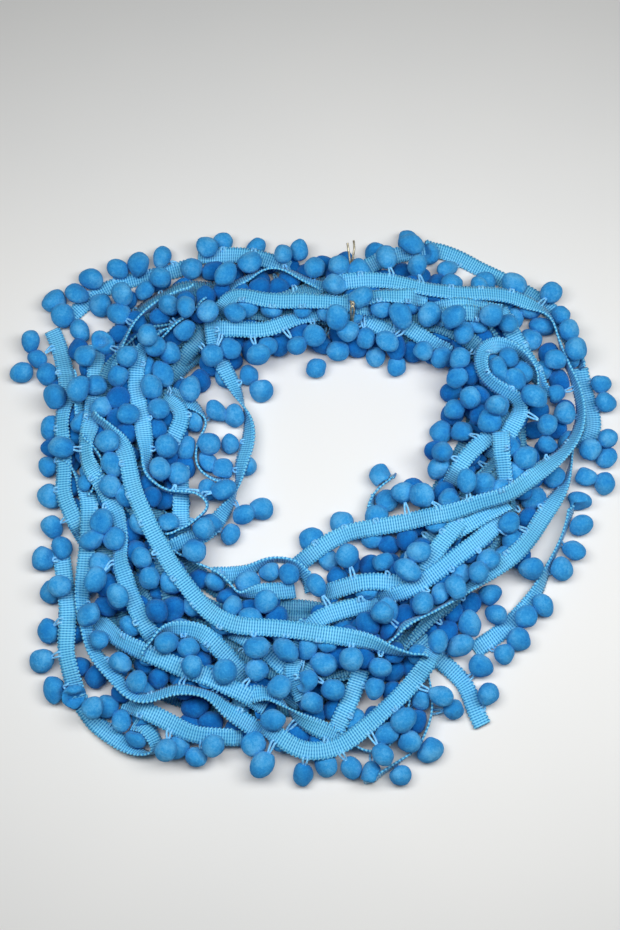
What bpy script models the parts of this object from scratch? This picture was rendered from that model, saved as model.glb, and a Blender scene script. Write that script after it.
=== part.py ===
"""A hank of pompom fringe trim, wound into a loose flat ring and tied.

The trim is a woven tape with a row of balls looped to one of its edges.
The ring lies flat on the floor. X runs to the right and Y to the back, seen from above the ring's front.
Tables are in millimetres; everything is built in metres.
"""

import math

import bmesh
import bpy
import numpy as np
from mathutils import Matrix, Vector

MM = 0.001

# The trim
TAPE_WIDTH = 10.0
TAPE_THICKNESS = 2.0
BALL_RADIUS = 7.3
BALL_PITCH = 19.0
ROOT_DEPTH = 1.2  # how deep a ball's root is fused into the tape's edge
ROOT_LENGTH = 0.8  # between a ball and the edge that it hangs from
CLEARANCE = 0.7  # between pieces that lie on each other
TAPE_STEP = BALL_PITCH / 2
ACROSS = (-1.0, -0.5, 0.0, 0.5, 1.0)  # places across the tape, as shares of its half width
BALL_SIDES = 4
BALL_RINGS = 6

# The tables below are measured from a point near the middle of the hank. This is the middle of the whole
# hank in them, and it becomes the origin.
HANK_MIDDLE = (5.95, 12.4)

# The wound middle of the hank
RING_CENTRE = (0.0 - HANK_MIDDLE[0], 25.0 - HANK_MIDDLE[1])
RING_STATIONS = 40
RING_SIDES = 14
DOME_POWER = 0.55  # under 1 gives the bundle a fuller shoulder
TURN_RIDGE = 1.3
TURN_RIDGES = 4
TURN_TWISTS = 3
EDGE_ROOM = 15.0  # the outermost balls lie outside the wound middle
HOLE_ROOM = 9.0

# How a run of trim lies on what is under it
SAG = 0.25
ROOT_REACH = 3.0  # a ball may lie this much above or below its tape
MOST_RAISE = 9.0  # a ball that would lift its tape more than this is left out
SETTLING_PASSES = 60
CROSSING_SHARES = (0.0, 0.25, 0.5, 0.75)  # between two stations, where the tape is tried over the heap
RESTING_SHARES = (0.0, 0.33, 0.67)  # and where it is kept for later runs to lie on
BALL_SHARES = (0.0, 0.35, 0.7, 0.95)  # places out from a ball's middle, tried over the wound middle
BALL_BEARINGS = 8

# The tie
TIE_DIAMETER = 1.4
TIE_X = 24.0 - HANK_MIDDLE[0]
TIE_BEARING = 78.0
TIE_ROOM = 3.0  # between the tie and the wound middle's sides
TIE_OVER = 5.0  # between the tie and the wound middle's top

TAPE_COLOUR = (0.10, 0.42, 0.72)
BALL_COLOUR = (0.07, 0.33, 0.66)
TIE_COLOUR = (0.55, 0.50, 0.40)

# The hank's outline and height round its centre, as bearing in degrees from +X,
# radius of the hole, radius of the outer edge and height of the wound middle.
SECTIONS = [
    # bearing, hole, outer, height
    (0, 58, 152, 20),
    (18, 76, 160, 20),
    (36, 96, 172, 20),
    (54, 93, 165, 20),
    (72, 78, 148, 18),
    (90, 74, 134, 19),
    (108, 74, 148, 20),
    (126, 80, 162, 20),
    (144, 86, 168, 20),
    (162, 92, 170, 20),
    (180, 84, 155, 19),
    (198, 78, 158, 19),
    (216, 90, 176, 20),
    (234, 84, 186, 20),
    (252, 66, 176, 20),
    (270, 66, 168, 20),
    (288, 68, 166, 20),
    (306, 56, 146, 20),
    (324, 52, 140, 19),
    (342, 54, 142, 19),
]

# The runs of trim that show, from the lowest to the highest. Roll turns the tape about its length:
# 0 has the balls on the left of the run's direction, 90 has them under the standing tape, 180 on the right.
RUNS = [
    # name, rolls at start, middle and end, route
    ("outer_left_top", (180, 170, 160), [
        (-150, 126), (-157, 114), (-155, 100), (-153, 88), (-149, 75), (-150, 60)]),
    ("outer_left_low", (190, 180, 170), [(-144, -32), (-141, -55), (-141, -75), (-139, -90), (-134, -106)]),
    ("corner_front_left", (0, 0, 20), [(-131, -111), (-121, -123), (-110, -131), (-98, -138), (-87, -142)]),
    ("front_rim_left", (180, 180, 180), [(-84, -124), (-71, -129), (-57, -131), (-42, -131), (-30, -134)]),
    ("front_rim_right", (0, 10, 20), [(36, -147), (50, -141), (59, -129), (63, -116), (68, -104)]),
    ("front_ribbon", (180, 180, 170), [
        (-17, -137), (-5, -141), (8, -140), (20, -133), (31, -122), (43, -111)]),
    ("outer_right_back", (0, 20, 30), [(165, 84), (167, 68), (164, 52), (159, 36), (156, 20)]),
    ("outer_right_front", (20, 0, 0), [(153, 8), (150, -6), (145, -22), (137, -38), (128, -50)]),
    ("hole_left_back", (0, 40, 80), [(-59, 96), (-54, 84), (-47, 71), (-42, 58)]),
    ("hole_left_front", (110, 90, 20), [(-40, 47), (-39, 35), (-43, 22), (-48, 9), (-54, -3)]),
    ("hole_left_curl", (80, 90, 80), [
        (-84, 68), (-72, 62), (-64, 55), (-65, 45), (-72, 36), (-71, 25), (-61, 19)]),
    ("back_rim_left", (180, 180, 160), [
        (-32, 160), (-44, 164), (-57, 165), (-70, 162), (-83, 158), (-95, 153)]),
    ("back_left_corner", (160, 170, 190), [(-107, 148), (-119, 144), (-130, 138), (-139, 130)]),
    ("back_arch", (90, 120, 90), [(16, 142), (3, 144), (-10, 149), (-23, 154), (-36, 150), (-46, 144)]),
    ("back_rim_right", (0, 0, 20), [(70, 158), (86, 159), (101, 155), (115, 149), (127, 142), (138, 134)]),
    ("left_slant", (60, 90, 120), [(-84, 134), (-94, 129), (-104, 121), (-112, 112), (-119, 99), (-123, 86)]),
    ("left_standing", (10, 60, 120), [
        (-135, 88), (-136, 72), (-138, 56), (-141, 40), (-139, 27), (-130, 15)]),
    ("left_inner", (150, 180, 180), [
        (-122, 4), (-115, -8), (-116, -24), (-112, -39), (-105, -54), (-97, -69)]),
    ("left_edge_back", (120, 180, 200), [(-152, 44), (-151, 28), (-148, 12), (-142, -4), (-139, -20)]),
    ("front_slant", (180, 180, 150), [(-38, -83), (-29, -88), (-21, -97), (-13, -105)]),
    ("front_left_hook", (120, 180, 180), [(-88, -75), (-77, -70), (-65, -72), (-56, -81), (-47, -91)]),
    ("hole_front_edge", (120, 100, 90), [(-88, -29), (-76, -32), (-64, -35), (-54, -41), (-46, -50)]),
    ("hole_front_arc", (180, 110, 90), [(-40, -38), (-32, -32), (-22, -29), (-12, -32), (-7, -41)]),
    ("front_upright", (180, 150, 110), [(13, -124), (17, -114), (22, -104), (26, -93)]),
    ("right_loop_back", (90, 10, 0), [(141, 78), (138, 90), (130, 99), (119, 104), (108, 102)]),
    ("right_loop_front", (0, 0, 20), [(103, 92), (107, 82), (117, 75), (126, 68), (127, 57), (120, 46)]),
    ("right_fan", (150, 170, 120), [(127, 115), (134, 106), (140, 98)]),
    ("right_middle", (20, 0, 0), [(112, 32), (114, 22)]),
    ("left_long_back", (60, 40, 0), [(-72, 124), (-85, 117), (-97, 104), (-110, 97), (-111, 82)]),
    ("left_long_middle", (0, 0, 30), [(-107, 69), (-104, 54), (-102, 38), (-100, 24)]),
    ("left_long_curl", (80, 90, 90), [(-94, 13), (-83, 9), (-72, 10), (-63, 3), (-66, -8), (-78, -14)]),
    ("front_left_long", (60, 90, 100), [(-135, -48), (-135, -64), (-130, -82), (-120, -95), (-108, -108)]),
    ("front_left_wave", (90, 100, 160), [(-96, -114), (-84, -109), (-71, -107), (-58, -112), (-46, -120)]),
    ("front_tape_left", (30, 0, 20), [
        (-116, -75), (-103, -81), (-88, -87), (-72, -94), (-56, -101), (-41, -109)]),
    ("front_tape_middle", (60, 90, 180), [(-28, -106), (-19, -112), (-8, -120), (5, -127)]),
    ("front_right_tip", (0, 0, 0), [(66, -85), (77, -93), (87, -101), (90, -113), (93, -124)]),
    ("right_front_inner", (0, 0, 30), [(12, -50), (28, -46), (44, -45), (58, -47)]),
    ("right_front_pair", (180, 180, 160), [(70, -41), (84, -32), (97, -24), (107, -12)]),
    ("right_front_twin", (0, 0, 0), [(68, -35), (75, -24), (83, -13)]),
    ("right_front_long", (120, 180, 180), [
        (50, -73), (66, -62), (82, -53), (98, -43), (113, -34), (124, -25)]),
    ("right_front_end", (160, 130, 90), [(132, -12), (140, -1), (147, 11), (150, 25)]),
    ("hole_back_middle", (180, 180, 160), [(31, 118), (41, 114), (50, 108)]),
    ("hole_back_right", (180, 170, 150), [(67, 108), (76, 103), (85, 101), (94, 100)]),
    ("back_tape_left", (0, 0, 0), [(6, 126), (-8, 122), (-20, 117), (-33, 113), (-47, 113), (-61, 113)]),
    ("back_tape_left_upper", (0, 0, 10), [(6, 133), (-9, 134), (-25, 135), (-39, 138), (-51, 138)]),
    ("back_tape_right", (0, 0, 20), [(44, 148), (60, 146), (78, 142), (97, 140), (116, 139), (132, 135)]),
    ("right_sweep_back", (40, 70, 90), [(146, 124), (151, 109), (154, 93), (159, 77), (161, 61)]),
    ("right_sweep_front", (100, 120, 150), [(157, 45), (147, 33), (134, 22), (120, 12), (107, 5)]),
    ("right_sweep_inner", (180, 180, 180), [(93, 2), (76, -3), (59, -8), (42, -10), (28, -13)]),
    ("hole_front_bridge", (150, 130, 120), [(17, -15), (5, -22), (-8, -33)]),
    ("left_sweep_back", (120, 180, 180), [(-126, 56), (-118, 42), (-111, 27), (-108, 11), (-101, -5)]),
    ("left_sweep_front", (180, 180, 180), [(-95, -18), (-86, -34), (-74, -49), (-59, -62), (-42, -70)]),
    ("front_sweep", (180, 180, 140), [(-28, -71), (-10, -72), (8, -74), (24, -77), (40, -83), (52, -87)]),
]


def clear_scene():
    for obj in list(bpy.data.objects):
        bpy.data.objects.remove(obj, do_unlink=True)


def collection_named(name):
    made = bpy.data.collections.new(name)
    bpy.context.scene.collection.children.link(made)
    return made


def material_named(name, colour, roughness):
    made = bpy.data.materials.new(name)
    made.use_nodes = True
    shader = made.node_tree.nodes["Principled BSDF"]
    shader.inputs["Base Color"].default_value = (*colour, 1.0)
    shader.inputs["Roughness"].default_value = roughness
    return made


def section_at(bearing):
    """Hole radius, outer radius and height at a bearing in radians, of the wound middle alone."""
    rows = np.array(SECTIONS, float)
    turns = np.append(rows[:, 0], 360.0)
    at = math.degrees(bearing) % 360.0
    hole, outer, height = (np.interp(at, turns, np.append(rows[:, k], rows[0, k])) for k in (1, 2, 3))
    return hole + HOLE_ROOM, outer - EDGE_ROOM, height


def ridge(across, bearing):
    """How far the wound turns stand out, for a place across the bundle, 0 at the hole, and a bearing."""
    return TURN_RIDGE * math.cos(2 * math.pi * TURN_RIDGES * across + TURN_TWISTS * bearing)


def middle_top(x, y):
    """Height of the wound middle over a point, and 0 off it."""
    dx, dy = x - RING_CENTRE[0], y - RING_CENTRE[1]
    bearing, radius = math.atan2(dy, dx), math.hypot(dx, dy)
    hole, outer, height = section_at(bearing)
    across = (radius - hole) / (outer - hole)
    if not 0.0 < across < 1.0:
        return 0.0
    rise = math.sin(math.acos(1.0 - 2.0 * across))
    return height * rise**DOME_POWER + TURN_RIDGE * rise


def build_wound_middle(collection, material):
    """A torus whose tube is pressed into the flat-bottomed bundle of each section, ridged by its turns."""
    bpy.ops.mesh.primitive_torus_add(
        major_segments=RING_STATIONS, minor_segments=RING_SIDES, major_radius=1.0, minor_radius=0.25
    )
    ring = bpy.context.object
    ring.name = "wound_middle"
    for vertex in ring.data.vertices:
        bearing = math.atan2(vertex.co.y, vertex.co.x)
        outwards = math.hypot(vertex.co.x, vertex.co.y) - 1.0
        round_tube = math.atan2(vertex.co.z, outwards)
        hole, outer, height = section_at(bearing)
        across = 0.5 + 0.5 * math.cos(round_tube)
        rise = max(math.sin(round_tube), 0.0)
        z = height * rise**DOME_POWER + ridge(across, bearing) * rise
        radius = hole + across * (outer - hole)
        vertex.co.x = (RING_CENTRE[0] + radius * math.cos(bearing)) * MM
        vertex.co.y = (RING_CENTRE[1] + radius * math.sin(bearing)) * MM
        vertex.co.z = z * MM
    for holder in list(ring.users_collection):
        holder.objects.unlink(ring)
    collection.objects.link(ring)
    ring.data.materials.append(material)
    ring.data.shade_smooth()
    return ring


def smooth_route(points, step):
    """Points about one step apart on a smooth curve through the route's points."""
    p = np.array(points, float) - HANK_MIDDLE
    p = np.vstack([2 * p[0] - p[1], p, 2 * p[-1] - p[-2]])
    curve = []
    for a, b, c, d in zip(p[:-3], p[1:-2], p[2:-1], p[3:]):
        for t in np.linspace(0, 1, 12, endpoint=False):
            bent = (2 * a - 5 * b + 4 * c - d) * t**2 + (3 * b - a - 3 * c + d) * t**3
            curve.append(0.5 * (2 * b + (c - a) * t + bent))
    curve = np.array(curve + [p[-2]])
    along = np.concatenate([[0], np.cumsum(np.linalg.norm(np.diff(curve, axis=0), axis=1))])
    count = max(3, round(along[-1] / step) + 1)
    at = np.linspace(0, along[-1], count)
    return np.stack([np.interp(at, along, curve[:, k]) for k in range(2)], axis=1)


class Heap:
    """What already lies on the floor: ball centres and points of the tapes, each with its top half-height."""

    def __init__(self):
        self.balls = []
        self.tapes = []

    def under_tape(self, x, y, half_height):
        """The lowest centre height of a tape that passes over a point."""
        top = middle_top(x, y)
        for bx, by, bz in self.balls:
            apart = math.hypot(bx - x, by - y)
            if apart < BALL_RADIUS + CLEARANCE:
                top = max(top, bz + math.sqrt((BALL_RADIUS + CLEARANCE) ** 2 - apart**2) - CLEARANCE)
        for tx, ty, tz, th in self.tapes:
            if math.hypot(tx - x, ty - y) < TAPE_STEP / 2 + CLEARANCE:
                top = max(top, tz + th)
        return top + half_height + CLEARANCE

    def under_ball(self, x, y):
        """The lowest centre height of a ball over a point."""
        z = BALL_RADIUS + CLEARANCE / 2
        for share in BALL_SHARES:
            drop = BALL_RADIUS * math.sqrt(1 - share**2)
            for turn in range(BALL_BEARINGS if share else 1):
                at = 2 * math.pi * turn / BALL_BEARINGS
                away = share * BALL_RADIUS
                z = max(z, middle_top(x + away * math.cos(at), y + away * math.sin(at)) + drop + CLEARANCE)
        apart_least = 2 * BALL_RADIUS + CLEARANCE
        for bx, by, bz in self.balls:
            apart = math.hypot(bx - x, by - y)
            if apart < apart_least:
                z = max(z, bz + math.sqrt(apart_least**2 - apart**2))
        for tx, ty, tz, th in self.tapes:
            apart = math.hypot(tx - x, ty - y)
            reach = BALL_RADIUS + TAPE_THICKNESS / 2 + CLEARANCE
            if apart < reach:
                z = max(z, tz + th - TAPE_THICKNESS / 2 + math.sqrt(reach**2 - apart**2))
        return z


def lay_run(heap, rolls, route):
    """Lays one run of trim on the heap.

    Returns its centre points, width directions, ball centres and ball roots.
    """
    flat = smooth_route(route, TAPE_STEP)
    count = len(flat)
    along = np.gradient(flat, axis=0)
    along /= np.linalg.norm(along, axis=1)[:, None]
    left = np.stack([-along[:, 1], along[:, 0]], axis=1)
    roll = np.radians(np.interp(np.linspace(0, 2, count), [0, 1, 2], rolls))
    lie, stand = np.cos(roll), np.sin(roll)
    half_width = TAPE_WIDTH / 2
    half_height = half_width * np.abs(stand) + TAPE_THICKNESS / 2 * np.abs(lie)
    side = np.where(lie >= 0, 1.0, -1.0)

    need = np.zeros(count)
    for i in range(count):
        for t in CROSSING_SHARES if i + 1 < count else (0.0,):
            j = min(i + 1, count - 1)
            middle = flat[i] * (1 - t) + flat[j] * t
            across = (left[i] * (1 - t) + left[j] * t) * (lie[i] * (1 - t) + lie[j] * t)
            tall = max(half_height[i], half_height[j])
            for share in ACROSS:
                x, y = middle + across * half_width * share
                lowest = heap.under_tape(x, y, tall)
                need[i] = max(need[i], lowest)
                need[j] = max(need[j], lowest if t else 0.0)
    need = np.maximum(need, BALL_RADIUS + CLEARANCE)

    balls = []
    for i in range(1, count, 2):
        reach = half_width * abs(lie[i]) + TAPE_THICKNESS / 2 * abs(stand[i]) + BALL_RADIUS + ROOT_LENGTH
        x, y = flat[i] + left[i] * side[i] * reach
        z = heap.under_ball(x, y)
        if z - ROOT_REACH - need[i] < MOST_RAISE:
            need[i] = max(need[i], z - ROOT_REACH)
            balls.append((i, x, y, z))

    height = need.copy()
    for _ in range(SETTLING_PASSES):
        taut = height.copy()
        taut[1:-1] = (height[:-2] + height[2:]) / 2 - SAG
        height = np.maximum(need, taut)

    width = np.stack([left[:, 0] * lie, left[:, 1] * lie, -stand], axis=1)
    line = np.column_stack([flat, height])
    centres = []
    roots = []
    for i, x, y, z in balls:
        z = min(max(z, height[i] - ROOT_REACH), height[i] + ROOT_REACH)
        clear = all(math.dist((x, y, z), other) > 2 * BALL_RADIUS + CLEARANCE for other in centres)
        near_tape = [
            math.hypot(flat[j][0] - x, flat[j][1] - y)
            for j in range(count)
            if abs(j - i) > 1
        ]
        if clear and min(near_tape, default=99.0) > BALL_RADIUS + TAPE_THICKNESS:
            centres.append((x, y, z))
            roots.append(line[i] + width[i] * (half_width - ROOT_DEPTH))
    return line, width, centres, roots


def remember(heap, line, width, centres):
    """Adds a laid run to the heap, as points close enough to lie on."""
    for i in range(len(line) - 1):
        for t in RESTING_SHARES:
            centre = line[i] * (1 - t) + line[i + 1] * t
            across = width[i] * (1 - t) + width[i + 1] * t
            for share in ACROSS:
                x, y, z = centre + across * TAPE_WIDTH / 2 * share
                heap.tapes.append((x, y, z, TAPE_THICKNESS / 2))
    heap.balls.extend(centres)


def build_balls(name, centres, roots, collection):
    """All the balls of one run as one mesh, each with its pole drawn out to its root in the tape."""
    made = bmesh.new()
    for centre, root in zip(centres, roots):
        towards = Vector(root) - Vector(centre)
        place = Matrix.Translation(Vector(centre) * MM) @ towards.to_track_quat("Z", "Y").to_matrix().to_4x4()
        ball = bmesh.ops.create_uvsphere(
            made, u_segments=BALL_SIDES, v_segments=BALL_RINGS, radius=BALL_RADIUS * MM, matrix=place
        )
        root_point = Vector(root) * MM
        nearest = min(ball["verts"], key=lambda vertex: (vertex.co - root_point).length)
        nearest.co = root_point
    mesh = bpy.data.meshes.new(name)
    made.to_mesh(mesh)
    made.free()
    obj = bpy.data.objects.new(name, mesh)
    collection.objects.link(obj)
    obj.hide_render = True
    obj.display_type = "WIRE"
    return obj


def build_run(name, line, width, centres, roots, parts, cutters, materials):
    """The tape as a thin strip along its laid line, with the balls of its fringe fused to one edge."""
    made = bmesh.new()
    bmesh.ops.create_grid(made, x_segments=len(line) - 1, y_segments=1, size=1.0)
    for vertex in made.verts:
        station = round((vertex.co.x + 1) / 2 * (len(line) - 1))
        edge = 1.0 if vertex.co.y > 0 else -1.0
        vertex.co = (line[station] + width[station] * edge * TAPE_WIDTH / 2) * MM
    mesh = bpy.data.meshes.new(name)
    made.to_mesh(mesh)
    made.free()
    obj = bpy.data.objects.new(name, mesh)
    parts.objects.link(obj)
    for material in materials:
        mesh.materials.append(material)
    thickness = obj.modifiers.new("thickness", "SOLIDIFY")
    thickness.thickness = TAPE_THICKNESS * MM
    thickness.offset = 0.0
    if centres:
        fuse = obj.modifiers.new("balls", "BOOLEAN")
        fuse.operation = "UNION"
        fuse.object = build_balls(name + "_balls", centres, roots, cutters)
    return obj


def build_tie(collection, material):
    """The thin tie round the bundle at the back, with its two free ends up at the outer edge."""
    half = TIE_DIAMETER / 2
    hole, outer, height = section_at(math.radians(TIE_BEARING))
    back = RING_CENTRE[1] + outer + TIE_ROOM
    front = RING_CENTRE[1] + hole - TIE_ROOM
    top = height + TIE_OVER
    route = [
        (TIE_X - 2.5, back + 11, top + 4),
        (TIE_X - 2.0, back + 6, top + 1),
        (TIE_X - 1.2, back - 2, top),
        (TIE_X, back - 14, top + 1.6),
        (TIE_X, (back + front) / 2, top + 2.2),
        (TIE_X, front + 12, top + 1.0),
        (TIE_X, front + 2, top - 8),
        (TIE_X + 0.4, front, half + 3),
        (TIE_X + 1.0, front - 0.5, half + CLEARANCE / 2),
    ]
    curve = bpy.data.curves.new("tie", "CURVE")
    curve.dimensions = "3D"
    curve.bevel_depth = half * MM
    curve.bevel_resolution = 1
    curve.use_fill_caps = True
    spline = curve.splines.new("POLY")
    spline.points.add(len(route) - 1)
    for point, place in zip(spline.points, route):
        point.co = (*[value * MM for value in place], 1.0)
    curve.materials.append(material)
    obj = bpy.data.objects.new("tie", curve)
    collection.objects.link(obj)
    return obj


def main():
    clear_scene()
    parts = collection_named("pompom fringe hank")
    cutters = collection_named("helpers")
    tape = material_named("woven tape", TAPE_COLOUR, 0.75)
    balls = material_named("pompoms", BALL_COLOUR, 0.95)
    wire = material_named("tie wire", TIE_COLOUR, 0.4)

    build_wound_middle(parts, tape)
    heap = Heap()
    for name, rolls, route in RUNS:
        line, width, centres, roots = lay_run(heap, rolls, route)
        remember(heap, line, width, centres)
        build_run(name, line, width, centres, roots, parts, cutters, (tape, balls))
    build_tie(parts, wire)
    print(len(heap.balls), "balls on", len(RUNS), "runs")


main()
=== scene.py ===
import math
import random

import bmesh
import bpy
import numpy as np
from mathutils import Euler, Matrix, Vector, noise


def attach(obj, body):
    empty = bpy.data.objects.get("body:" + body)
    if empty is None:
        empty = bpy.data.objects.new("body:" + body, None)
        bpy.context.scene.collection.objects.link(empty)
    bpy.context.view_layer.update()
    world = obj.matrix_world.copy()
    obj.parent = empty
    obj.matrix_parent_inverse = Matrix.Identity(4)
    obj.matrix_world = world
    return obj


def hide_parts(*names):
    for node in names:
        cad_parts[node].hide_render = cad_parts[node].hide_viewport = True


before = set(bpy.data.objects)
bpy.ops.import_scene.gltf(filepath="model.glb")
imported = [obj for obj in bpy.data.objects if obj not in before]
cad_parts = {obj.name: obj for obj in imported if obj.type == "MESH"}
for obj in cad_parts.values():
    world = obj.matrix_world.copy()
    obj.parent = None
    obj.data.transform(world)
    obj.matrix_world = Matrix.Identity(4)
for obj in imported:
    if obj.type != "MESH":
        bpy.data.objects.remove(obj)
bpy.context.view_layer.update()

# Sizes are in millimetres until a mesh is made. Places are measured from a point near the middle of the
# hank, and "middle" below is the frame's origin in them.
mm = 0.001

trim = {
    "middle": (5.95, 12.4),
    "tapeWidth": 10.0,
    "tapeThickness": 1.15,
    "ribPitch": 1.55,
    "ribDepth": 0.17,
    "scallops": (-0.4675, 0.275, 0.275),  # how far the edges go in and out, station by station
    "ballRadius": 6.9,
    "ballPitch": 19.0,
    "stationsPerBall": 4,  # how finely a route is divided
    "loopLength": 4.6,
    "loopThread": 0.68,
    "loopStep": 1.3,
}
step = trim["ballPitch"] / trim["stationsPerBall"]
halfWidth = trim["tapeWidth"] / 2
ballReach = halfWidth + trim["loopLength"] + trim["ballRadius"]

camera = {
    "target": (-2.0, 33.0, 0.0),
    "elevation": 74.0,
    "distance": 700.0,
    "lens": 43.7,
    "tracedHeight": 25.0,  # the height at which the places below line up with the photograph
}
cameraPlace = np.array([
    camera["target"][0],
    camera["target"][1] - camera["distance"] * math.cos(math.radians(camera["elevation"])),
    camera["distance"] * math.sin(math.radians(camera["elevation"])),
])

# The bundle round its centre. A row of the outline gives a bearing in degrees from the right, the radius of
# the hole there, and the outer radius with the pompoms.
bundle = {
    "centre": (0.0, 25.0),
    "outline": [
        (0, 58, 158), (18, 76, 164), (36, 96, 168), (54, 93, 162), (72, 76, 146), (90, 72, 136),
        (108, 72, 142), (126, 80, 160), (144, 82, 172), (162, 74, 172), (180, 64, 160), (198, 52, 160),
        (216, 58, 176), (234, 70, 184), (252, 64, 172), (270, 58, 168), (288, 60, 160), (306, 52, 142),
        (324, 48, 138), (342, 50, 144),
    ],
    "turns": 13,
    "knotsPerTurn": 4,  # how often a turn changes its lane
    "lanes": (0.08, 0.94),  # from the hole, 0, to the outside, 1
    "laneShift": 0.382,
    "laneJitter": 0.1,
    "rolls": (-20, 200),
    "margin": 10.0,
    "startBearing": 70.0,
    "seed": 11,
}

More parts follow.
